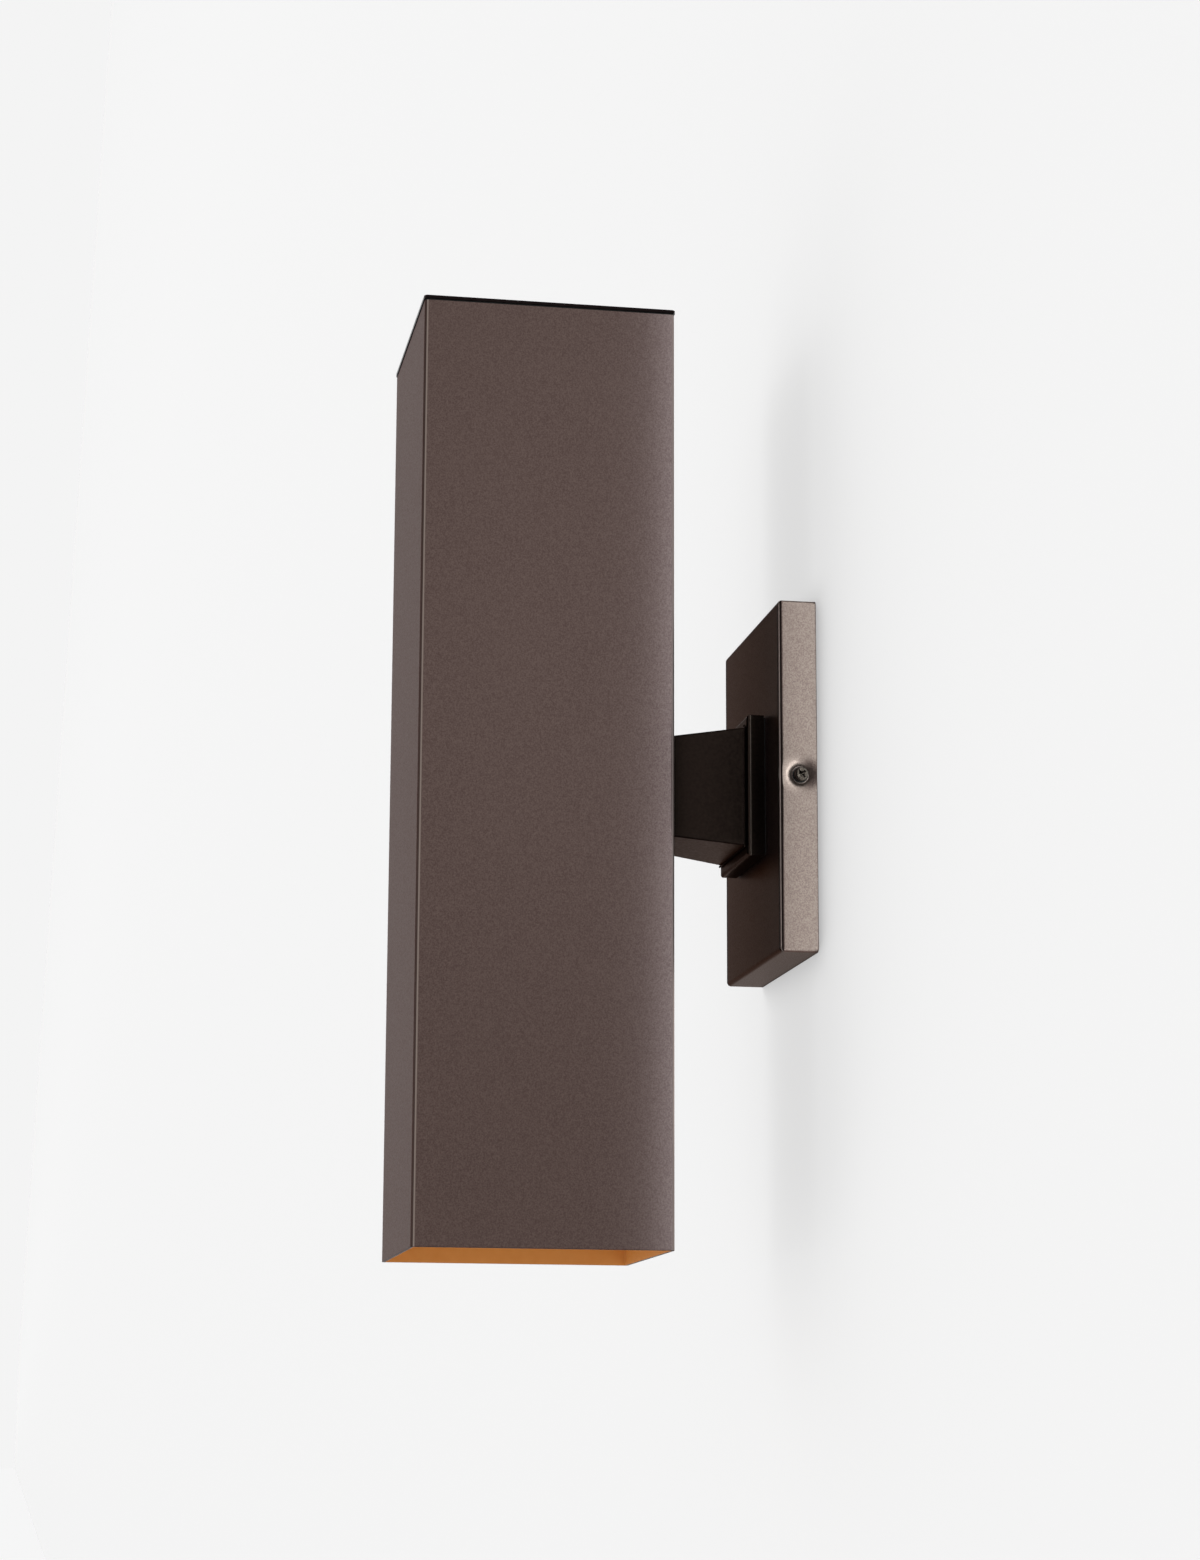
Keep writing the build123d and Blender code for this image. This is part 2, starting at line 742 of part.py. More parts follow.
def ground_lead():
    strap_y = -strap_gauge - ground_wire_radius - lead_clearance
    plate_y = plate_inside + ground_wire_radius + lead_clearance
    ring_end = ring_tongue - ring_tongue_width
    points = [
        (ground_screw_place, strap_y, -ring_end),
        (ground_screw_place, strap_y, -ground_drop),
        (-ground_swing_side, -ground_swing_depth, -ground_swing_drop),
        (-ground_dip_side, -ground_dip_depth, -plate_screw_spread - ground_dip),
        (0, plate_y, -plate_screw_spread - ground_rise),
        (0, plate_y, -plate_screw_spread - ring_end),
    ]
    bends = [ground_swing_bend, ground_dip_bend, ground_plate_bend, ground_plate_bend]
    lead = wire("ground", points, bends, ground_wire_radius)
    lead += ring_terminal(ground_screw_place, 0, -strap_gauge, -strap_gauge - ring_gauge)
    return lead + ring_terminal(0, -plate_screw_spread, plate_inside, plate_inside + ring_gauge)


# Every node of the light, by name

def upper_and_lower(name, solid):
    upper, lower = both_ends(solid)
    return {"upper_" + name: [upper], "lower_" + name: [lower]}


def right_and_left(name, solid):
    right, left = both_sides(solid)
    return {"right_" + name: [right], "left_" + name: [left]}


black_pair = lead_pair("lead")
nodes = {
    "lamp_tube": [lamp_tube()],
    "wall_arm": [wall_arm()],
    "arm_seals": arm_seals(),
    "wall_plate": [wall_plate()],
    "bracket_screws": bracket_screws(),
    "plate_screws": plate_screws(),
    "mounting_strap": [mounting_strap()],
    "ground_screw": [ground_screw()],
    "wall_gasket": wall_gasket().solids(),
    "holder_bracket": [holder_bracket()],
    "holder_screws": holder_screws(),
    "top_frame": [top_frame()],
    "top_glass": [top_glass()],
    "glass_seal": [glass_seal()],
    "rim_gasket": [rim_gasket()],
    "cover_springs": both_sides(cover_spring()),
    "spring_rivets": both_sides(spring_rivet()),
    "lead_bushings": lead_bushings(),
    "black_leads": black_pair,
    "white_leads": [mirror(lead, about=Plane.YZ) for lead in black_pair],
    "wire_connectors": both_sides(wire_connector()),
    "ground_lead": [ground_lead()],
}
nodes |= right_and_left("side_screw", side_screw())
nodes |= right_and_left("screw_washer", side_washer())
nodes |= upper_and_lower("holder_body", holder_body())
nodes |= upper_and_lower("holder_shell", holder_shell())
nodes |= upper_and_lower("holder_contact", holder_contact())
nodes |= upper_and_lower("lamp_contact", lamp_contact())
nodes |= upper_and_lower("lamp_insulator", lamp_insulator())
nodes |= upper_and_lower("lamp_base", lamp_base())
nodes |= upper_and_lower("lamp_reflector", lamp_reflector())
nodes |= upper_and_lower("lamp_burner", lamp_burner())
nodes |= upper_and_lower("lamp_lens", lamp_lens())

os.makedirs("parts", exist_ok=True)
for name, pieces in nodes.items():
    solids = [solid for piece in pieces for solid in piece.solids()]
    shape = solids[0] if len(solids) == 1 else Compound(children=solids)
    export_step(shape, f"parts/{name}.step")
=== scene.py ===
import math

import bpy
from mathutils import Matrix, Vector


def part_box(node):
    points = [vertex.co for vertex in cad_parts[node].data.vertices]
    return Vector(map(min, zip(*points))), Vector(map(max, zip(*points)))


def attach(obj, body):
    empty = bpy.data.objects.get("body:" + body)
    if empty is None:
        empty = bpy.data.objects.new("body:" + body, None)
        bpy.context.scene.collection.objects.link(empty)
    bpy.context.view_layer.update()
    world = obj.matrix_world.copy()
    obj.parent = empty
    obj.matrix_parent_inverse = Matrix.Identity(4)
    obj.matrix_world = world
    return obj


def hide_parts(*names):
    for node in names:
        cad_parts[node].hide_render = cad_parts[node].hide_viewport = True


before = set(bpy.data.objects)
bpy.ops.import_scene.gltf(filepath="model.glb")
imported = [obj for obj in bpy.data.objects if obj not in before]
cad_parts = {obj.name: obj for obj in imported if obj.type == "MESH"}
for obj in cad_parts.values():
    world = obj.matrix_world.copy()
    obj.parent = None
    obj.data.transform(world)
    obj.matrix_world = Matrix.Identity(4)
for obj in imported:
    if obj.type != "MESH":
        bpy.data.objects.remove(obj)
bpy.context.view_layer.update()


# Mounting strap and its ground screw: a bar of mild steel, punched, bent up at both ends and zinc plated.
# Two screws of the outlet box hold it through its slots, and the plate's side screws thread into its ends.
mm = 0.001


def to_linear(hex_colour):
    """An sRGB hex colour as the linear RGBA that a shader takes."""
    channels = [int(hex_colour[i:i + 2], 16) / 255 for i in (1, 3, 5)]
    return [c / 12.92 if c <= 0.04045 else ((c + 0.055) / 1.055) ** 2.4 for c in channels] + [1.0]


def add_node(tree, kind, inputs=(), **settings):
    """Adds a node, sets its properties, then sets or links its inputs, given by name or number."""
    node = tree.nodes.new(kind)
    for name, value in settings.items():
        setattr(node, name, value)
    for key, value in dict(inputs).items():
        if isinstance(value, bpy.types.NodeSocket):
            tree.links.new(value, node.inputs[key])
        else:
            node.inputs[key].default_value = value
    return node


def new_material(name, constants):
    """A material with one Principled shader, whose constant sockets are set, and the place on the piece."""
    material = bpy.data.materials.new(name)
    material.use_nodes = True
    tree = material.node_tree
    tree.nodes.clear()
    shader = add_node(tree, "ShaderNodeBsdfPrincipled", constants)
    add_node(tree, "ShaderNodeOutputMaterial", {"Surface": shader.outputs["BSDF"]})
    place = add_node(tree, "ShaderNodeTexCoord").outputs["Object"]
    return material, tree, shader, place


def grain(tree, shader, place, dark, light, size, roughness, relief):
    """Two tones, a range of roughness and a fine relief, all from one noise whose grain has a real size."""
    noise = add_node(tree, "ShaderNodeTexNoise", {"Vector": place, "Scale": 1 / size, "Detail": 3.0})
    spread = add_node(tree, "ShaderNodeMapRange", {
        "Value": noise.outputs["Fac"], "From Min": 0.3, "From Max": 0.7})
    # A colour Mix node takes its share at 0 and its two colours at 6 and 7, and gives the result at 2.
    tone = add_node(tree, "ShaderNodeMix", {0: spread.outputs[0], 6: to_linear(dark), 7: to_linear(light)},
                    data_type="RGBA")
    dullness = add_node(tree, "ShaderNodeMapRange", {
        "Value": spread.outputs[0], "To Min": roughness[0], "To Max": roughness[1]})
    bump = add_node(tree, "ShaderNodeBump", {
        "Height": noise.outputs["Fac"], "Strength": 1.0, "Distance": relief})
    tree.links.new(tone.outputs[2], shader.inputs["Base Color"])
    tree.links.new(dullness.outputs[0], shader.inputs["Roughness"])
    tree.links.new(bump.outputs["Normal"], shader.inputs["Normal"])
    return tone.outputs[2]


def finish_nodes(material, *names):
    """These CAD nodes keep their shape and take this finish."""
    for name in names:
        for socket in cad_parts[name].material_slots:
            socket.material = material


# Bright zinc over rolled steel: cool grey, with soft cloudy spangle a few millimetres across.
zinc, tree, shader, place = new_material("zinc_plated_rolled_steel", {"Metallic": 1.0})
grain(tree, shader, place, "#8E9294", "#C3C6C6", 3.5 * mm, (0.26, 0.42), 0.004 * mm)
finish_nodes(zinc, "mounting_strap")

# Green chromate over zinc marks the ground screw: a thin tinted film, a little patchy.
green_plating, tree, shader, place = new_material("green_chromated_steel", {"Metallic": 0.7})
grain(tree, shader, place, "#1F6B35", "#37944E", 1.2 * mm, (0.30, 0.45), 0.003 * mm)
finish_nodes(green_plating, "ground_screw")


# Wall gasket: two lengths of closed-cell foam strip, stuck inside the plate's rim and squeezed on the wall.
# Cut foam is dull charcoal, pitted all over with small open cells.
foam_cell = 0.9 * mm
foam, tree, shader, place = new_material("closed_cell_foam", {"Specular IOR Level": 0.25})
grain(tree, shader, place, "#2B2C2D", "#4A4B4C", foam_cell, (0.80, 0.95), 0.12 * mm)
finish_nodes(foam, "wall_gasket")


# Wall plate: a pan drawn from sheet steel, with a dimple pressed into each side for a screw, powder coated.
# It hangs over the strap and two screws from behind hold the arm to it.

def bronze_coat(tree, shader, place, across, forward, shade_and_highlight_lines):
    """Satin powder coat with metal flake: warm grey brown with fine soft grain and a faint orange peel.
    Painted shade and painted highlight: darker and lighter lines along rounded edges, by the turn of the
    rounding."""
    flake = 0.65 * mm  # drawn coarser than the real 0.1 mm flake, so that it shows at this distance
    peel = 2.2 * mm
    cloud = 38 * mm
    flakes = add_node(tree, "ShaderNodeTexNoise", {"Vector": place, "Scale": 1 / flake, "Detail": 1.0})
    pick = add_node(tree, "ShaderNodeSeparateColor", {"Color": flakes.outputs["Color"]})
    glint = add_node(tree, "ShaderNodeMapRange", {
        "Value": pick.outputs[0], "From Min": 0.30, "From Max": 0.70})
    clouds = add_node(tree, "ShaderNodeTexNoise", {"Vector": place, "Scale": 1 / cloud, "Detail": 2.0})
    ground = add_node(tree, "ShaderNodeMix", {
        0: clouds.outputs["Fac"], 6: to_linear("#4B3C39"), 7: to_linear("#50413D")}, data_type="RGBA")
    tone = add_node(tree, "ShaderNodeMix", {
        0: glint.outputs[0], 6: ground.outputs[2], 7: to_linear("#5F504B")}, data_type="RGBA")
    dullness = add_node(tree, "ShaderNodeMapRange", {
        "Value": pick.outputs[1], "From Min": 0.35, "From Max": 0.65, "To Min": 0.31, "To Max": 0.42})
    skin = add_node(tree, "ShaderNodeTexNoise", {"Vector": place, "Scale": 1 / peel, "Detail": 2.0})
    bump = add_node(tree, "ShaderNodeBump", {
        "Height": skin.outputs["Fac"], "Strength": 1.0, "Distance": 0.006 * mm})
    tree.links.new(dullness.outputs[0], shader.inputs["Roughness"])
    tree.links.new(bump.outputs["Normal"], shader.inputs["Normal"])
    # Painted shade and painted highlight: bands of colour by the turn of the rounding, laid over the coat.
    turn = add_node(tree, "ShaderNodeMath", {0: forward, 1: across}, operation="ARCTAN2")
    half_turn = add_node(tree, "ShaderNodeMath", {0: turn.outputs[0], 1: math.pi}, operation="DIVIDE")
    edge = add_node(tree, "ShaderNodeValToRGB", {"Fac": half_turn.outputs[0]})
    for degrees, colour, cover in shade_and_highlight_lines:
        stop = edge.color_ramp.elements.new(degrees / 180)
        stop.color = to_linear(colour)[:3] + [cover]
    edge.color_ramp.elements.remove(edge.color_ramp.elements[-1])
    edge.color_ramp.elements.remove(edge.color_ramp.elements[0])
    painted_edge_tone = add_node(tree, "ShaderNodeMix", {
        0: edge.outputs["Alpha"], 6: tone.outputs[2], 7: edge.outputs["Color"]}, data_type="RGBA")
    return painted_edge_tone.outputs[2]


# Painted shade and highlight go by the turn of the rounding, from 0 degrees at a side to 90 at the front, and
# past it inwards.
plate_shade_and_highlight = (
    (10, "#191312", 0), (20, "#191312", 1), (44, "#191312", 1), (54, "#8F827D", 1), (78, "#8F827D", 1),
    (90, "#191312", 1), (115, "#191312", 0.8), (140, "#191312", 0))
plate_edge = 2.0 * mm
plate_low, plate_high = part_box("wall_plate")
bronze, tree, shader, place = new_material("bronze_flake_powder_coat", {
    "Metallic": 0.94, "Specular IOR Level": 0.0, "Specular Tint": to_linear("#979593")})
plate_reach = add_node(tree, "ShaderNodeVectorMath", {0: place}, operation="ABSOLUTE")
past_flat = add_node(tree, "ShaderNodeVectorMath", {0: plate_reach.outputs[0], 1: [
    half - plate_edge for half in (plate_high[0], -plate_low[1], plate_high[2])]}, operation="SUBTRACT")
rounding = add_node(tree, "ShaderNodeSeparateXYZ", {0: past_flat.outputs[0]})
coat = bronze_coat(tree, shader, place, rounding.outputs[0], rounding.outputs[1], plate_shade_and_highlight)
tree.links.new(coat, shader.inputs["Base Color"])
finish_nodes(bronze, "wall_plate")


# Side screws and their washers: steel pan head screws with a cross recess, plated dark bronze.
# Each goes through a thin nylon washer and the dimple of the plate into the strap.

# Bronze plating over steel: dark brown and half glossy, a little uneven from the plating barrel.
plating, tree, shader, place = new_material("bronze_plated_steel", {"Metallic": 1.0})
grain(tree, shader, place, "#241D1A", "#352D29", 0.8 * mm, (0.22, 0.34), 0.004 * mm)


def new_tree(name, sizes, shares):
    """An empty Geometry Nodes tree with inputs for the points, the sizes and the finish, and the sizes that
    are a share of an input: a name, the input and a factor for each."""
    tree = bpy.data.node_groups.new(name, "GeometryNodeTree")
    tree.interface.new_socket("Points", in_out="INPUT", socket_type="NodeSocketGeometry")
    for size in sizes:
        tree.interface.new_socket(size, in_out="INPUT", socket_type="NodeSocketFloat")
    tree.interface.new_socket("Finish", in_out="INPUT", socket_type="NodeSocketMaterial")
    tree.interface.new_socket("Mesh", in_out="OUTPUT", socket_type="NodeSocketGeometry")
    given = add_node(tree, "NodeGroupInput").outputs
    derived = {}
    for share, size, factor in shares:
        product = add_node(tree, "ShaderNodeMath", {0: given[size], 1: factor}, operation="MULTIPLY")
        derived[share] = product.outputs[0]
    return tree, given, derived


def shifted(tree, mesh, height):
    """A mesh moved along the axis that it stands on."""
    along = add_node(tree, "ShaderNodeCombineXYZ", {"Z": height})
    moved = add_node(tree, "GeometryNodeTransform", {"Geometry": mesh, "Translation": along.outputs[0]})
    return moved.outputs[0]


def end_tree(tree, given, shape, crease):
    """Sets a shape on each point along its axis: one plain mesh, smooth but for edges past the crease."""
    axis = add_node(tree, "GeometryNodeInputNamedAttribute", {"Name": "axis"}, data_type="FLOAT_VECTOR")
    turn = add_node(tree, "FunctionNodeAlignRotationToVector", {"Vector": axis.outputs[0]}, axis="Z")
    placed = add_node(tree, "GeometryNodeInstanceOnPoints", {
        "Points": given["Points"], "Instance": shape, "Rotation": turn.outputs[0]})
    real = add_node(tree, "GeometryNodeRealizeInstances", {"Geometry": placed.outputs[0]})
    smooth = add_node(tree, "GeometryNodeSetShadeSmooth", {"Geometry": real.outputs[0]}, domain="FACE")
    angle = add_node(tree, "GeometryNodeInputMeshEdgeAngle")
    sharp = add_node(tree, "FunctionNodeCompare", {0: angle.outputs[0], 1: crease},
                     operation="GREATER_THAN")
    creased = add_node(tree, "GeometryNodeSetShadeSmooth", {
        "Geometry": smooth.outputs[0], "Selection": sharp.outputs[0], "Shade Smooth": False}, domain="EDGE")
    done = add_node(tree, "GeometryNodeSetMaterial", {
        "Geometry": creased.outputs[0], "Material": given["Finish"]})
    add_node(tree, "NodeGroupOutput", {0: done.outputs[0]})


def grown(tree, places, axes, sizes, finish):
    """The plain mesh that a tree makes on these places, each with its axis."""
    mesh = bpy.data.meshes.new("places")
    mesh.from_pydata(places, [], [])
    directions = mesh.attributes.new("axis", "FLOAT_VECTOR", "POINT")
    for item, axis in zip(directions.data, axes):
        item.vector = axis
    carrier = bpy.data.objects.new("places", mesh)
    bpy.context.scene.collection.objects.link(carrier)
    modifier = carrier.modifiers.new("grow", "NODES")
    modifier.node_group = tree
    sockets = {item.name: item.identifier for item in tree.interface.items_tree if item.in_out == "INPUT"}
    for name, size in sizes.items():
        modifier[sockets[name]] = size
    modifier[sockets["Finish"]] = finish
    evaluated = carrier.evaluated_get(bpy.context.evaluated_depsgraph_get())
    result = bpy.data.meshes.new_from_object(evaluated)
    bpy.data.objects.remove(carrier)
    return result


def new_piece(name, mesh, body, slot, *nodes):
    """A finished piece at the origin, which rides on its body and stands for these CAD nodes."""
    piece = bpy.data.objects.new(name, mesh)
    bpy.context.scene.collection.objects.link(piece)
    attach(piece, body)
    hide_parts(*nodes)
    return piece


# The head is a short cylinder with a crown of rings, each a share of its radius and of its height.
# A cross of two bars and a blunt point are cut into it, and a ridge wound along the shank makes the thread.
side_share = 0.42
crown_rings = ((0.97, 0.68), (0.90, 0.86), (0.79, 0.96), (0.60, 1.0))
screw_crease = 0.6  # radians
screws, given, derived = new_tree("cross_recess_screws", (
    "Head Radius", "Head Height", "Recess Length", "Recess Width", "Recess Depth", "Shank Radius",
    "Shank Length", "Thread Pitch"), (
    ("side height", "Head Height", side_share),
    ("side middle", "Head Height", side_share / 2),
    ("bar depth", "Recess Depth", 2.0),
    ("point top", "Recess Length", 0.34),
    ("point end", "Recess Width", 0.25),
    ("point depth", "Recess Depth", 1.3),
    ("point drop", "Recess Depth", -1.15),
    ("thread depth", "Thread Pitch", 0.40),
    ("shank middle", "Shank Length", -0.5),
    ("shank end", "Shank Length", -1.0)))
head_side = add_node(screws, "GeometryNodeMeshCylinder", {
    "Vertices": 40, "Radius": given["Head Radius"], "Depth": derived["side height"]})
head = shifted(screws, head_side.outputs["Mesh"], derived["side middle"])
top = head_side.outputs["Top"]
last_radius, last_height = 1.0, side_share
for ring_radius, ring_height in crown_rings:
    rise = add_node(screws, "ShaderNodeMath", {0: given["Head Height"], 1: ring_height - last_height},
                    operation="MULTIPLY")
    raised = add_node(screws, "GeometryNodeExtrudeMesh", {
        "Mesh": head, "Selection": top, "Individual": False, "Offset Scale": rise.outputs[0]})
    top = raised.outputs["Top"]
    drawn_in = add_node(screws, "GeometryNodeScaleElements", {
        "Geometry": raised.outputs["Mesh"], "Selection": top, "Scale": ring_radius / last_radius})
    head = drawn_in.outputs[0]
    last_radius, last_height = ring_radius, ring_height
bar_size = add_node(screws, "ShaderNodeCombineXYZ", {
    "X": given["Recess Length"], "Y": given["Recess Width"], "Z": derived["bar depth"]})
bar = add_node(screws, "GeometryNodeMeshCube", {"Size": bar_size.outputs[0]})
cutters = []
for degrees in (40, 130):
    turned_bar = add_node(screws, "GeometryNodeTransform", {
        "Geometry": bar.outputs["Mesh"], "Rotation": (0, 0, math.radians(degrees))})
    cutters.append(shifted(screws, turned_bar.outputs[0], given["Head Height"]))
point = add_node(screws, "GeometryNodeMeshCone", {
    "Vertices": 16, "Radius Top": derived["point top"], "Radius Bottom": derived["point end"],
    "Depth": derived["point depth"]})
point_foot = add_node(screws, "ShaderNodeMath", {0: given["Head Height"], 1: derived["point drop"]},
                      operation="ADD")
cutters.append(shifted(screws, point.outputs["Mesh"], point_foot.outputs[0]))
recessed = add_node(screws, "GeometryNodeMeshBoolean", {"Mesh 1": head}, operation="DIFFERENCE")
for cutter in cutters:
    screws.links.new(cutter, recessed.inputs["Mesh 2"])
core_radius = add_node(screws, "ShaderNodeMath", {0: given["Shank Radius"], 1: derived["thread depth"]},
                       operation="SUBTRACT")
core = add_node(screws, "GeometryNodeMeshCylinder", {
    "Vertices": 24, "Radius": core_radius.outputs[0], "Depth": given["Shank Length"]})
turns = add_node(screws, "ShaderNodeMath", {0: given["Shank Length"], 1: given["Thread Pitch"]},
                 operation="DIVIDE")
helix = add_node(screws, "GeometryNodeCurveSpiral", {
    "Resolution": 20, "Rotations": turns.outputs[0], "Start Radius": core_radius.outputs[0],
    "End Radius": core_radius.outputs[0], "Height": given["Shank Length"]})
level = add_node(screws, "GeometryNodeSetCurveNormal", {"Curve": helix.outputs[0]}, mode="Z_UP")
ridge = add_node(screws, "GeometryNodeCurvePrimitiveCircle", {
    "Resolution": 4, "Radius": derived["thread depth"]})
thread = add_node(screws, "GeometryNodeCurveToMesh", {
    "Curve": level.outputs[0], "Profile Curve": ridge.outputs[0], "Fill Caps": True})
joined = add_node(screws, "GeometryNodeJoinGeometry")
for part in (recessed.outputs["Mesh"], shifted(screws, core.outputs["Mesh"], derived["shank middle"]),
             shifted(screws, thread.outputs[0], derived["shank end"])):
    screws.links.new(part, joined.inputs[0])
end_tree(screws, given, joined.outputs[0], screw_crease)

screw_setback = 7.85 * mm
screw_seat = 60.5 * mm
large_screw = {
    "Head Radius": 3.6 * mm, "Head Height": 2.6 * mm, "Recess Length": 4.7 * mm, "Recess Width": 1.15 * mm,
    "Recess Depth": 1.4 * mm, "Shank Radius": 2.08 * mm, "Thread Pitch": 0.794 * mm}
side_screws = {}
for side, way in (("right", 1), ("left", -1)):
    mesh = grown(screws, [(way * screw_seat, -screw_setback, 0)], [(way, 0, 0)],
                 large_screw | {"Shank Length": 9.5 * mm}, plating)
    side_screws[side] = new_piece(f"{side}_cross_screw", mesh, f"{side}_screw", "bronze_plated_screw",
                                  f"{side}_side_screw")

# Moulded nylon: dull black with a faint texture from the mould. The bushings for the leads are of it too.
nylon, tree, shader, place = new_material("black_moulded_nylon", {"IOR": 1.53, "Specular IOR Level": 0.15})
grain(tree, shader, place, "#0C0C0C", "#141414", 0.6 * mm, (0.55, 0.70), 0.006 * mm)
finish_nodes(nylon, "right_screw_washer", "left_screw_washer", "lead_bushings")


# Arm: a hollow aluminium casting that flares to a moulded flange, stove painted in a near-black bronze.
# A rubber seal lies at each of its ends, and two screws at each end draw it to the plate and to the tube.

# Stoved paint with metal in it: near black and warm, with a satin shine and the fine texture of the casting.
dark_paint, tree, shader, place = new_material("dark_bronze_stoved_paint", {
    "Metallic": 1.0, "Specular Tint": to_linear("#B5ACA8")})
paint = grain(tree, shader, place, "#140F0D", "#1B1512", 1.4 * mm, (0.34, 0.44), 0.008 * mm)

# A painted highlight: a fine lighter line runs round the flange where its side turns over.
arm_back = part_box("wall_arm")[1][1]
flange_bend = 6.8 * mm
highlight_line_width = 0.35 * mm
arm_place = add_node(tree, "ShaderNodeSeparateXYZ", {0: place})
from_bend = add_node(tree, "ShaderNodeMath", {0: arm_place.outputs[1], 1: flange_bend - arm_back},
                     operation="ADD")
off_bend = add_node(tree, "ShaderNodeMath", {0: from_bend.outputs[0]}, operation="ABSOLUTE")
flange_highlight_mask = add_node(tree, "ShaderNodeMapRange", {
    "Value": off_bend.outputs[0], "From Min": 0.5 * highlight_line_width, "From Max": highlight_line_width,
    "To Min": 1.0, "To Max": 0.0})
flange_highlighted = add_node(tree, "ShaderNodeMix", {0: flange_highlight_mask.outputs[0], 6: paint, 7: to_linear("#4A403B")},
                 data_type="RGBA")
tree.links.new(flange_highlighted.outputs[2], shader.inputs["Base Color"])
finish_nodes(dark_paint, "wall_arm")

# Moulded rubber: soft black, dull and dusty.
rubber, tree, shader, place = new_material("black_moulded_rubber", {"Specular IOR Level": 0.3})
grain(tree, shader, place, "#101010", "#1C1B1B", 0.7 * mm, (0.65, 0.80), 0.010 * mm)
finish_nodes(rubber, "arm_seals", "rim_gasket")

head_radius = large_screw["Head Radius"]
head_height = large_screw["Head Height"]
ground_ring = 0.8 * mm  # the ground wire's ring lies under the lower plate screw
low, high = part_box("plate_screws")
plate_spread = high[2] - head_radius
plate_seat = high[1] - head_height
places = [(0, plate_seat - ground_ring, plate_spread), (0, plate_seat, -plate_spread)]
mesh = grown(screws, places, [(0, 1, 0)] * 2, large_screw | {"Shank Length": 11 * mm}, zinc)
new_piece("plate_cross_screws", mesh, "fixture", "zinc_plated_steel", "plate_screws")
low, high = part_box("bracket_screws")
bracket_spread = high[2] - head_radius
bracket_seat = low[1] + head_height
places = [(0, bracket_seat, bracket_spread), (0, bracket_seat, -bracket_spread)]
mesh = grown(screws, places, [(0, -1, 0)] * 2, large_screw | {"Shank Length": 12 * mm}, zinc)
new_piece("bracket_cross_screws", mesh, "fixture", "zinc_plated_steel", "bracket_screws")


# Lamp tube: a square aluminium extrusion, powder coated bronze outside and lacquered amber inside.
# It is open below and takes the glazed cover above.
tube_low, tube_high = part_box("lamp_tube")
tube_wall = 1.5 * mm
tube_corner = 2.0 * mm
tube_half = (tube_high[0] - tube_low[0]) / 2
tube_axis = (tube_low[1] + tube_high[1]) / 2
flat_half = tube_half - tube_corner
lacquer_streak = 6 * mm
tube_shade_and_highlight = (
    (4, "#83766F", 0), (14, "#83766F", 1), (26, "#83766F", 1), (36, "#2B2220", 1), (58, "#2B2220", 1),
    (84, "#2B2220", 0.3), (110, "#2B2220", 0))

# The coat has painted shade and highlight lines on the front edges, a painted highlight line on the edges
# behind, and painted shade on the sawn end below. The lacquer, warm and faintly streaked, stops at the inner
# edge of the rims.
coated, tree, shader, place = new_material("bronze_outside_amber_inside", {
    "Specular Tint": to_linear("#BAB0AE")})
from_axis = add_node(tree, "ShaderNodeVectorMath", {0: place, 1: (0, -tube_axis, 0)}, operation="ADD")
offset = add_node(tree, "ShaderNodeSeparateXYZ", {0: from_axis.outputs[0]})
tube_reach = add_node(tree, "ShaderNodeVectorMath", {0: from_axis.outputs[0]}, operation="ABSOLUTE")
sides = add_node(tree, "ShaderNodeSeparateXYZ", {0: tube_reach.outputs[0]})
forward = add_node(tree, "ShaderNodeMath", {0: offset.outputs[1], 1: -1.0}, operation="MULTIPLY")
across = add_node(tree, "ShaderNodeMath", {0: sides.outputs[0], 1: flat_half}, operation="SUBTRACT")
onward = add_node(tree, "ShaderNodeMath", {0: forward.outputs[0], 1: flat_half}, operation="SUBTRACT")
outside = bronze_coat(tree, shader, place, across.outputs[0], onward.outputs[0], tube_shade_and_highlight)
# Painted highlight: a light line on the tube's edges behind.
backward = add_node(tree, "ShaderNodeMath", {0: offset.outputs[1], 1: flat_half}, operation="SUBTRACT")
behind = add_node(tree, "ShaderNodeMapRange", {
    "Value": backward.outputs[0], "From Min": 0.2 * tube_corner, "From Max": 0.5 * tube_corner})
back_highlight_mask = add_node(tree, "ShaderNodeMapRange", {
    "Value": across.outputs[0], "From Max": 0.1 * tube_corner, "To Max": behind.outputs[0]})
back_highlighted = add_node(tree, "ShaderNodeMix", {0: back_highlight_mask.outputs[0], 6: outside, 7: to_linear("#8F827D")},
                 data_type="RGBA")
# Painted shade: the sawn end below is darkened.
rim_shade_mask = add_node(tree, "ShaderNodeMapRange", {
    "Value": offset.outputs[2], "From Min": tube_low[2] + 0.05 * mm, "From Max": tube_low[2] + 0.3 * mm,
    "To Min": 1.0, "To Max": 0.0})
rim_shaded = add_node(tree, "ShaderNodeMix", {0: rim_shade_mask.outputs[0], 6: back_highlighted.outputs[2], 7: to_linear("#0E0B0A")},
                 data_type="RGBA")
streaks = add_node(tree, "ShaderNodeTexNoise", {"Vector": place, "Scale": 1 / lacquer_streak, "Detail": 3.0})
amber = add_node(tree, "ShaderNodeMix", {
    0: streaks.outputs["Fac"], 6: to_linear("#D28B43"), 7: to_linear("#DC9850")}, data_type="RGBA")
farthest = add_node(tree, "ShaderNodeMath", {0: sides.outputs[0], 1: sides.outputs[1]}, operation="MAXIMUM")
in_or_out = add_node(tree, "ShaderNodeMapRange", {
    "Value": farthest.outputs[0], "From Min": tube_half - 0.98 * tube_wall,
    "From Max": tube_half - 0.92 * tube_wall})
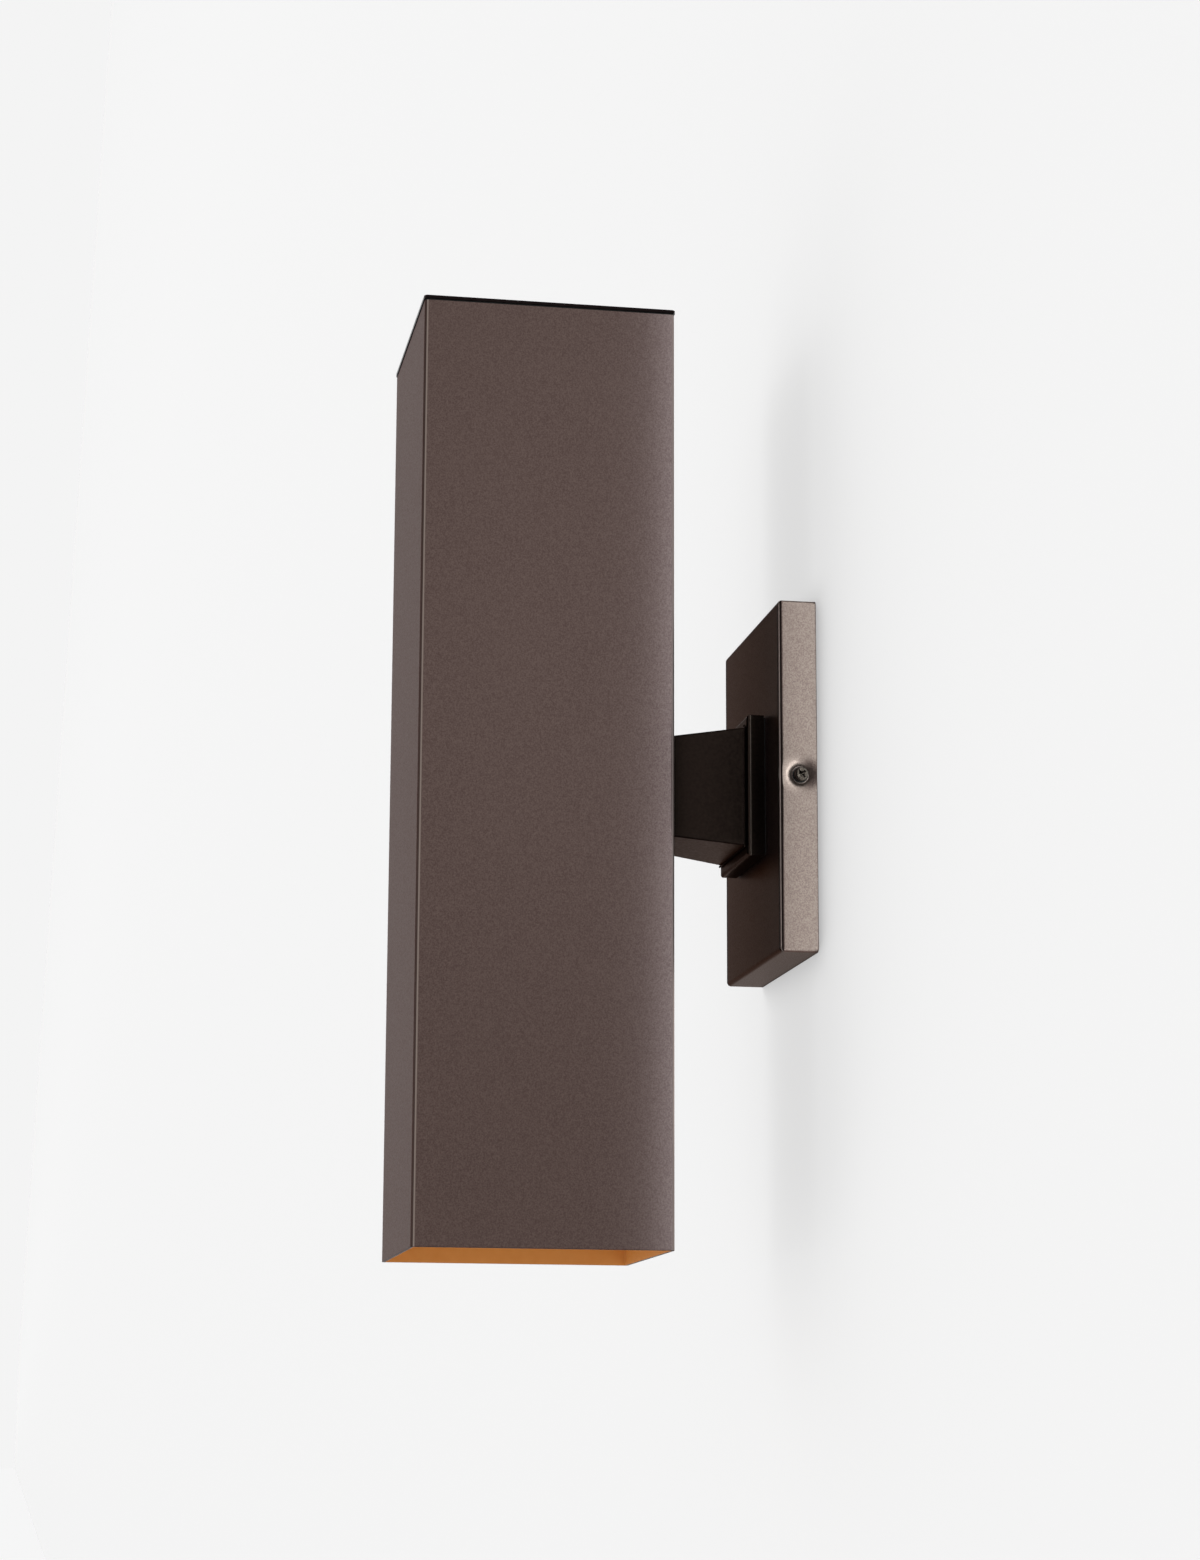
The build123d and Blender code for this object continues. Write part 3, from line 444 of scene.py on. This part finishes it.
tube_colour = add_node(tree, "ShaderNodeMix", {
    0: in_or_out.outputs[0], 6: amber.outputs[2], 7: rim_shaded.outputs[2]}, data_type="RGBA")
tree.links.new(tube_colour.outputs[2], shader.inputs["Base Color"])
tree.links.new(in_or_out.outputs[0], shader.inputs["Metallic"])
finish_nodes(coated, "lamp_tube")


# Holder bracket: a strip of zinc plated steel bent into a C, screwed to the arm through the tube's back.
# Two small screws from inside it hold each lampholder.
finish_nodes(zinc, "holder_bracket")
small_screw = {
    "Head Radius": 3.3 * mm, "Head Height": 2.2 * mm, "Recess Length": 3.8 * mm, "Recess Width": 0.9 * mm,
    "Recess Depth": 1.2 * mm, "Shank Radius": 1.7 * mm, "Shank Length": 9 * mm, "Thread Pitch": 0.7 * mm}
low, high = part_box("holder_screws")
holder_spread = (high[1] - low[1]) / 2 - small_screw["Head Radius"]
holder_seat = high[2] - small_screw["Shank Length"]
places = [(0, tube_axis + way * holder_spread, end * holder_seat) for end in (1, -1) for way in (1, -1)]
mesh = grown(screws, places, [(0, 0, -1)] * 2 + [(0, 0, 1)] * 2, small_screw, zinc)
new_piece("holder_cross_screws", mesh, "fixture", "zinc_plated_steel", "holder_screws")


# Lampholders: a glazed porcelain body with a rolled brass screw shell and a sprung brass centre contact.
# The shell is a thin sleeve with a floor, into which the round thread of the lamp is rolled.

# Glazed porcelain: warm white and glossy, with slow waves in the glaze.
porcelain, tree, shader, place = new_material("glazed_porcelain", {
    "IOR": 1.52, "Coat Weight": 0.6, "Coat Roughness": 0.08})
grain(tree, shader, place, "#DAD5C9", "#EBE7DD", 6.0 * mm, (0.16, 0.28), 0.02 * mm)
finish_nodes(porcelain, "upper_holder_body", "lower_holder_body")

# Pressed brass: yellow and half bright, a little stained.
brass, tree, shader, place = new_material("pressed_brass", {"Metallic": 1.0})
grain(tree, shader, place, "#A67F3A", "#CBA55A", 2.4 * mm, (0.25, 0.40), 0.006 * mm)
finish_nodes(brass, "upper_holder_contact", "lower_holder_contact")

# The sleeve's wall is drawn in along a wave that climbs one pitch in each turn, between its plain ends.
# Wall and floor are then thickened inwards.
sleeve_crease = 0.7  # radians
seam = 0.001 * mm
sleeves, given, derived = new_tree("rolled_thread_sleeves", (
    "Radius", "Height", "Wall", "Taper", "Floor Hole", "Plain End", "Thread Depth", "Thread Pitch"), (
    ("middle", "Height", 0.5),
    ("full thread", "Plain End", 1.6),
    ("floor dish", "Wall", 0.1),
    ("side inwards", "Wall", -1.0),
    ("floor inwards", "Wall", -0.8)))
plain = add_node(sleeves, "GeometryNodeMeshCylinder", {
    "Vertices": 56, "Side Segments": 64, "Radius": given["Radius"], "Depth": given["Height"]},
    fill_type="NONE")
position = add_node(sleeves, "GeometryNodeInputPosition")
spot = add_node(sleeves, "ShaderNodeSeparateXYZ", {0: position.outputs[0]}).outputs
pitches = add_node(sleeves, "ShaderNodeMath", {0: spot["Z"], 1: given["Thread Pitch"]}, operation="DIVIDE")
climb = add_node(sleeves, "ShaderNodeMath", {0: pitches.outputs[0], 1: math.tau}, operation="MULTIPLY")
round_axis = add_node(sleeves, "ShaderNodeMath", {0: spot["Y"], 1: spot["X"]}, operation="ARCTAN2")
phase = add_node(sleeves, "ShaderNodeMath", {0: climb.outputs[0], 1: round_axis.outputs[0]},
                 operation="SUBTRACT")
wave = add_node(sleeves, "ShaderNodeMath", {0: phase.outputs[0]}, operation="COSINE")
groove = add_node(sleeves, "ShaderNodeMath", {0: wave.outputs[0], 1: -0.5, 2: 0.5},
                  operation="MULTIPLY_ADD")
from_top = add_node(sleeves, "ShaderNodeMath", {0: given["Height"], 1: spot["Z"]}, operation="SUBTRACT")
from_end = add_node(sleeves, "ShaderNodeMath", {0: spot["Z"], 1: from_top.outputs[0]}, operation="MINIMUM")
rolled = add_node(sleeves, "ShaderNodeMapRange", {
    "Value": from_end.outputs[0], "From Min": given["Plain End"], "From Max": derived["full thread"],
    "To Max": given["Thread Depth"]})
sunk = add_node(sleeves, "ShaderNodeMath", {0: groove.outputs[0], 1: rolled.outputs[0]},
                operation="MULTIPLY")
tapered = add_node(sleeves, "ShaderNodeMapRange", {
    "Value": spot["Z"], "From Max": given["Taper"], "To Min": given["Taper"], "To Max": 0.0})
inwards = add_node(sleeves, "ShaderNodeMath", {0: sunk.outputs[0], 1: tapered.outputs[0]}, operation="ADD")
radius_left = add_node(sleeves, "ShaderNodeMath", {0: given["Radius"], 1: inwards.outputs[0]},
                       operation="SUBTRACT")
narrowing = add_node(sleeves, "ShaderNodeMath", {0: radius_left.outputs[0], 1: given["Radius"]},
                     operation="DIVIDE")
narrowed = {"Z": spot["Z"]}
for axis in ("X", "Y"):
    pulled = add_node(sleeves, "ShaderNodeMath", {0: spot[axis], 1: narrowing.outputs[0]},
                      operation="MULTIPLY")
    narrowed[axis] = pulled.outputs[0]
threaded = add_node(sleeves, "ShaderNodeCombineXYZ", narrowed)
side_sheet = add_node(sleeves, "GeometryNodeSetPosition", {
    "Geometry": shifted(sleeves, plain.outputs["Mesh"], derived["middle"]),
    "Position": threaded.outputs[0]})
floor_radius = add_node(sleeves, "ShaderNodeMath", {0: given["Radius"], 1: given["Taper"]},
                        operation="SUBTRACT")
floor_disc = add_node(sleeves, "GeometryNodeMeshCone", {
    "Vertices": 56, "Radius Top": given["Floor Hole"], "Radius Bottom": floor_radius.outputs[0],
    "Depth": derived["floor dish"]}, fill_type="NONE")
floor_sheet = shifted(sleeves, floor_disc.outputs["Mesh"], given["Wall"])
walls = add_node(sleeves, "GeometryNodeJoinGeometry")
for outer, thickness in ((side_sheet.outputs[0], derived["side inwards"]),
                         (floor_sheet, derived["floor inwards"])):
    inner = add_node(sleeves, "GeometryNodeExtrudeMesh", {
        "Mesh": outer, "Individual": False, "Offset Scale": thickness})
    facing_in = add_node(sleeves, "GeometryNodeFlipFaces", {"Mesh": inner.outputs["Mesh"]})
    both = add_node(sleeves, "GeometryNodeJoinGeometry", {0: outer})
    sleeves.links.new(facing_in.outputs[0], both.inputs[0])
    closed = add_node(sleeves, "GeometryNodeMergeByDistance", {"Geometry": both.outputs[0], "Distance": seam})
    sleeves.links.new(closed.outputs[0], walls.inputs[0])
end_tree(sleeves, given, walls.outputs[0], sleeve_crease)

lamp_thread = 3.629 * mm
low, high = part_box("upper_holder_shell")
shell = {
    "Radius": high[0], "Height": high[2] - low[2], "Wall": 0.4 * mm, "Taper": 0.0, "Floor Hole": 8 * mm,
    "Plain End": 2 * mm, "Thread Depth": 0.7 * mm, "Thread Pitch": lamp_thread}
for end, way in (("upper", 1), ("lower", -1)):
    mesh = grown(sleeves, [(0, tube_axis, way * low[2])], [(0, 0, way)], shell, brass)
    new_piece(f"{end}_screw_shell", mesh, "fixture", "brass", f"{end}_holder_shell")


# Leads: stranded wires in soft sleeving from each holder to the twist-on connectors in the plate, and a
# bare copper ground wire from the strap to the arm's lower screw.

# Silicone sleeving is smooth and dull, drawn copper is half bright and begins to tarnish in patches, and the
# connectors' moulded plastic is an even orange with a soft shine.
for colour, dark, light in (("black", "#151515", "#222222"), ("white", "#CFCBC2", "#E2DFD8")):
    sleeving, tree, shader, place = new_material(f"{colour}_silicone_sleeving", {"Specular IOR Level": 0.35})
    grain(tree, shader, place, dark, light, 1.5 * mm, (0.50, 0.65), 0.01 * mm)
    finish_nodes(sleeving, f"{colour}_leads")
copper, tree, shader, place = new_material("bare_drawn_copper", {"Metallic": 1.0})
grain(tree, shader, place, "#A25F3C", "#C98A63", 1.5 * mm, (0.28, 0.45), 0.006 * mm)
finish_nodes(copper, "ground_lead")
orange, tree, shader, place = new_material("orange_moulded_plastic", {"IOR": 1.46})
grain(tree, shader, place, "#C9651B", "#DB7A2A", 2.0 * mm, (0.40, 0.52), 0.01 * mm)
finish_nodes(orange, "wire_connectors")


# Reflector lamps: a pressed glass bowl, aluminised inside, with a moulded lens fused on and a burner in the
# middle. The rolled screw base ends in a black glass button and a soldered tip.

# The base is pale metal marked by the rolls, the button deep glossy black, the solder grey and lumpy,
# the bowl a bright and slightly wavy mirror, and the burner milky.
base_metal, tree, shader, place = new_material("rolled_lamp_base_aluminium", {"Metallic": 1.0})
grain(tree, shader, place, "#B4B2AC", "#D2D0CA", 2.0 * mm, (0.22, 0.36), 0.006 * mm)
button_glass, tree, shader, place = new_material("black_base_glass", {"IOR": 1.52})
grain(tree, shader, place, "#0C0C0E", "#19191C", 2.0 * mm, (0.10, 0.22), 0.02 * mm)
solder, tree, shader, place = new_material("tin_solder", {"Metallic": 1.0})
grain(tree, shader, place, "#8C8C8A", "#B5B5B2", 1.2 * mm, (0.35, 0.55), 0.05 * mm)
silvered, tree, shader, place = new_material("aluminised_pressed_glass", {"Metallic": 1.0})
grain(tree, shader, place, "#C9C9C6", "#DEDEDB", 9.0 * mm, (0.06, 0.14), 0.01 * mm)
frosted, tree, shader, place = new_material("frosted_quartz", {"IOR": 1.46, "Transmission Weight": 0.6})
grain(tree, shader, place, "#E4E5E3", "#F2F3F1", 1.2 * mm, (0.45, 0.60), 0.02 * mm)

# The lens is moulded all over with low round pebbles, which spread the beam and break up what shows behind.
pebble = 4.5 * mm
pebble_rise = 1.4 * mm
lens_glass, tree, shader, place = new_material("moulded_lens_glass", {
    "IOR": 1.5, "Transmission Weight": 0.55})
grain(tree, shader, place, "#D9DCDB", "#EEF0EF", 5.0 * mm, (0.16, 0.26), 0.02 * mm)
flattened = add_node(tree, "ShaderNodeMapping", {"Vector": place, "Scale": (1, 1, 0)})
domes = add_node(tree, "ShaderNodeTexVoronoi", {
    "Vector": flattened.outputs[0], "Scale": 1 / pebble, "Randomness": 0.7, "Smoothness": 0.2},
    feature="SMOOTH_F1")
pebbled = add_node(tree, "ShaderNodeBump", {
    "Height": domes.outputs["Distance"], "Strength": 1.0, "Distance": pebble_rise}, invert=True)
tree.links.new(pebbled.outputs["Normal"], shader.inputs["Normal"])
low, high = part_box("upper_lamp_base")
base = {
    "Radius": high[0], "Height": high[2] - low[2], "Wall": 0.4 * mm, "Taper": 2 * mm, "Floor Hole": 0.0,
    "Plain End": 3 * mm, "Thread Depth": 0.9 * mm, "Thread Pitch": lamp_thread}
for end, way in (("upper", 1), ("lower", -1)):
    mesh = grown(sleeves, [(0, tube_axis, way * low[2])], [(0, 0, way)], base, base_metal)
    new_piece(f"{end}_screw_base", mesh, f"{end}_lamp", "lamp_base_metal", f"{end}_lamp_base")
    finish_nodes(button_glass, f"{end}_lamp_insulator")
    finish_nodes(solder, f"{end}_lamp_contact")
    finish_nodes(silvered, f"{end}_lamp_reflector")
    finish_nodes(frosted, f"{end}_lamp_burner")
    finish_nodes(lens_glass, f"{end}_lamp_lens")


# Top cover: a black painted frame with a skirt that drops into the tube, a tempered pane on a silicone
# seal, a rubber gasket under its lip and two riveted spring clips that grip the tube's walls.

# The paint is black with a satin shine, the pane clear with a trace of green, the silicone soft grey and
# dull, and the rivets plain bright aluminium.
black_paint, tree, shader, place = new_material("black_metallic_paint", {"Metallic": 1.0})
grain(tree, shader, place, "#140F0F", "#1B1515", 1.6 * mm, (0.30, 0.40), 0.006 * mm)
finish_nodes(black_paint, "top_frame")
pane_glass, tree, shader, place = new_material("clear_tempered_glass", {
    "IOR": 1.52, "Transmission Weight": 0.95})
grain(tree, shader, place, "#F2F7F4", "#F8FBF9", 20.0 * mm, (0.02, 0.05), 0.004 * mm)
finish_nodes(pane_glass, "top_glass")
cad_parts["top_glass"].visible_shadow = False  # daylight falls through the clear pane into the tube
silicone, tree, shader, place = new_material("grey_silicone", {"Specular IOR Level": 0.35})
grain(tree, shader, place, "#87888A", "#9C9D9E", 1.0 * mm, (0.55, 0.70), 0.01 * mm)
finish_nodes(silicone, "glass_seal")
finish_nodes(zinc, "cover_springs")
rivet_metal, tree, shader, place = new_material("plain_aluminium", {"Metallic": 1.0})
grain(tree, shader, place, "#B3B3B3", "#CFCFCF", 1.0 * mm, (0.30, 0.45), 0.006 * mm)
finish_nodes(rivet_metal, "spring_rivets")


# Stage: a pale wall that the light hangs on and a pale floor below it, both seen from their front only.
# Each glows in its own colour, and a share of it is matt and takes the soft shadow. Lengths are in metres.
pale = to_linear("#F4F4F4")
wall_left = -400.0
wall_right = 12.0
wall_top = 12.0
floor_height = -1.3
floor_reach = 12.0
wall_glow = 0.505
floor_glow = 1.07
shadow_share = 0.20


def stage_sheet(name, corners, glow_strength):
    """A flat sheet that shows its pale colour and the object's soft shadow, and is clear from behind."""
    mesh = bpy.data.meshes.new(name)
    mesh.from_pydata(corners, [], [(0, 1, 2, 3)])
    sheet = bpy.data.objects.new(name, mesh)
    bpy.context.scene.collection.objects.link(sheet)
    material = bpy.data.materials.new(name + "_paint")
    material.use_nodes = True
    tree = material.node_tree
    tree.nodes.clear()
    matt = add_node(tree, "ShaderNodeBsdfDiffuse", {"Color": pale})
    glow = add_node(tree, "ShaderNodeEmission", {"Color": pale, "Strength": glow_strength})
    front = add_node(tree, "ShaderNodeMixShader", {0: shadow_share, 1: glow.outputs[0], 2: matt.outputs[0]})
    clear = add_node(tree, "ShaderNodeBsdfTransparent")
    from_behind = add_node(tree, "ShaderNodeNewGeometry").outputs["Backfacing"]
    shown = add_node(tree, "ShaderNodeMixShader", {0: from_behind, 1: front.outputs[0], 2: clear.outputs[0]})
    add_node(tree, "ShaderNodeOutputMaterial", {"Surface": shown.outputs[0]})
    mesh.materials.append(material)
    return sheet


wall = stage_sheet("wall", [
    (wall_left, 0, floor_height), (wall_right, 0, floor_height), (wall_right, 0, wall_top),
    (wall_left, 0, wall_top)], wall_glow)
floor = stage_sheet("floor", [
    (wall_left, -floor_reach, floor_height), (wall_right, -floor_reach, floor_height),
    (wall_right, 0, floor_height), (wall_left, 0, floor_height)], floor_glow)

# Studio light: an even pale surround, which the camera, reflections and glass see at its full colour and
# which lights the object a little less. A lamp of level 1 lights a white sheet that faces it to plain white.
surround_level = 0.72
front_level = 0.36
wash_level = 2.6
world = bpy.data.worlds.new("pale_studio")
bpy.context.scene.world = world
world.use_nodes = True
tree = world.node_tree
tree.nodes.clear()
path = add_node(tree, "ShaderNodeLightPath")
seen = add_node(tree, "ShaderNodeMath", {
    0: path.outputs["Is Camera Ray"], 1: path.outputs["Is Glossy Ray"]}, operation="MAXIMUM")
seen_or_through = add_node(tree, "ShaderNodeMath", {
    0: seen.outputs[0], 1: path.outputs["Is Transmission Ray"]}, operation="MAXIMUM")
ambient = add_node(tree, "ShaderNodeBackground", {"Color": pale, "Strength": surround_level})
backdrop = add_node(tree, "ShaderNodeBackground", {"Color": pale, "Strength": 1.0})
surround = add_node(tree, "ShaderNodeMixShader", {
    0: seen_or_through.outputs[0], 1: ambient.outputs[0], 2: backdrop.outputs[0]})
add_node(tree, "ShaderNodeOutputWorld", {"Surface": surround.outputs[0]})


def add_lamp(name, lamp, place, towards):
    """Puts a lamp in the scene, turned towards a direction."""
    holder = bpy.data.objects.new(name, lamp)
    turn = Vector(towards).to_track_quat("-Z", "Y").to_matrix().to_4x4()
    holder.matrix_world = Matrix.Translation(place) @ turn
    bpy.context.scene.collection.objects.link(holder)
    return holder


# The main light comes from the front, as wide as a large soft box, and lays the soft shadow on the wall.
front_light = bpy.data.lights.new("front_soft_box", "SUN")
front_light.energy = front_level * math.pi
front_light.angle = math.radians(45)
add_lamp("front_soft_box", front_light, (0, -2, 0.5), (0.05, 1, -0.02))

# A wide wash from the left lights the wall alone. Only the plate stands in its way and lays a shadow where it
# meets the wall.
wash = bpy.data.lights.new("wall_wash", "SUN")
wash.energy = wash_level * math.pi
wash.angle = math.radians(70)
wash_lamp = add_lamp("wall_wash", wash, (-2, -2, 0.5), (0.64, 0.77, -0.1))
washed = bpy.data.collections.new("washed_wall")
washed.objects.link(wall)
wash_lamp.light_linking.receiver_collection = washed
in_the_way = bpy.data.collections.new("in_the_wash")
in_the_way.objects.link(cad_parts["wall_plate"])
wash_lamp.light_linking.blocker_collection = in_the_way

# A small black flag, which only reflections show, shades the dimple's inner slope and the arm's side.
flag_right = 100 * mm
flag_front, flag_back = -54 * mm, -14 * mm
flag_bottom, flag_top = -22 * mm, 30 * mm
flag_mesh = bpy.data.meshes.new("black_flag")
flag_mesh.from_pydata([
    (flag_right, flag_front, flag_bottom), (flag_right, flag_back, flag_bottom),
    (flag_right, flag_back, flag_top), (flag_right, flag_front, flag_top)], [], [(0, 1, 2, 3)])
flag_cloth = bpy.data.materials.new("black_flag_cloth")
flag_cloth.use_nodes = True
flag_cloth.node_tree.nodes.clear()
cloth = add_node(flag_cloth.node_tree, "ShaderNodeEmission", {"Color": to_linear("#0A0A0A")})
add_node(flag_cloth.node_tree, "ShaderNodeOutputMaterial", {"Surface": cloth.outputs[0]})
flag_mesh.materials.append(flag_cloth)
flag = bpy.data.objects.new("black_flag", flag_mesh)
bpy.context.scene.collection.objects.link(flag)
flag.visible_camera = flag.visible_diffuse = flag.visible_shadow = flag.visible_transmission = False

# Reflector boards lie on the wall or stand to the right of the light, with places and sizes in millimetres.
# Each lights only what it is there for: the plate with its right screw and the arm, the arm, the tube, or,
# for the two large ones, all but the stage.
by_the_plate = bpy.data.collections.new("by_the_plate")
for node in ("wall_plate", "right_screw_washer", "wall_arm"):
    by_the_plate.objects.link(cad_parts[node])
by_the_plate.objects.link(side_screws["right"])
on_the_arm = bpy.data.collections.new("on_the_arm")
on_the_arm.objects.link(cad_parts["wall_arm"])
on_the_tube = bpy.data.collections.new("on_the_tube")
on_the_tube.objects.link(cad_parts["lamp_tube"])
off_the_stage = bpy.data.collections.new("off_the_stage")
for sheet in (wall, floor):
    off_the_stage.objects.link(sheet)
for member in off_the_stage.collection_objects:
    member.light_linking.link_state = "EXCLUDE"
for name, place, towards, width, height, brightness, colour, lit in (
        ("plate_board", (106.3, -0.15, 10), (0, -1, 0), 88, 560, 5.2, (0.80, 1.0, 1.0), by_the_plate),
        ("dimple_board", (66, -8, 2), (0, -1, 0), 4, 5, 12.0, (0.80, 1.0, 1.0), by_the_plate),
        ("arm_board", (160, -122, 5), (-1, 0, 0), 70, 160, 5.0, (1.0, 1.0, 1.0), on_the_arm),
        ("edge_board", (110, -50, 40), (-1, 0, 0), 32, 560, 3.1, (0.68, 0.86, 1.0), on_the_tube),
        ("upper_board", (850, -1, 285), (0, -1, 0), 800, 500, 0.78, (0.9, 0.97, 1.0), off_the_stage),
        ("lower_board", (-130, -1, -115), (0, -1, 0), 380, 110, 0.76, (0.9, 0.93, 0.93), off_the_stage)):
    board = bpy.data.lights.new(name, "AREA")
    board.shape = "RECTANGLE"
    board.size = width * mm
    board.size_y = height * mm
    board.color = colour
    board.energy = brightness * math.pi * board.size * board.size_y
    board_lamp = add_lamp(name, board, Vector(place) * mm, towards)
    board_lamp.visible_camera = False
    board_lamp.light_linking.receiver_collection = lit

bpy.context.scene.view_settings.view_transform = "Standard"

# Camera: where the photograph was taken from, low on the right and close to the wall. Its place, angles and
# focal length were fitted to the corners of the light that the photograph shows.
camera_place = Vector((1573.9, -368.2, -323.3)) * mm
camera_azimuth = math.radians(80.154)
camera_elevation = math.radians(-11.654)
camera_roll = math.radians(0.228)
focal_pixels = 3305.9
image_height = 1560
sensor = 36.0

back = Vector((math.sin(camera_azimuth) * math.cos(camera_elevation),
               -math.cos(camera_azimuth) * math.cos(camera_elevation), math.sin(camera_elevation)))
right = Vector((0, 0, 1)).cross(back).normalized()
up = back.cross(right)
turned_right = right * math.cos(camera_roll) + up * math.sin(camera_roll)
turned_up = up * math.cos(camera_roll) - right * math.sin(camera_roll)
camera = bpy.data.objects.new("camera", bpy.data.cameras.new("camera"))
camera.data.sensor_width = sensor
camera.data.lens = sensor * focal_pixels / image_height
camera_axes = Matrix((turned_right, turned_up, back)).transposed()
camera.matrix_world = Matrix.Translation(camera_place) @ camera_axes.to_4x4()
bpy.context.scene.collection.objects.link(camera)
bpy.context.scene.camera = camera
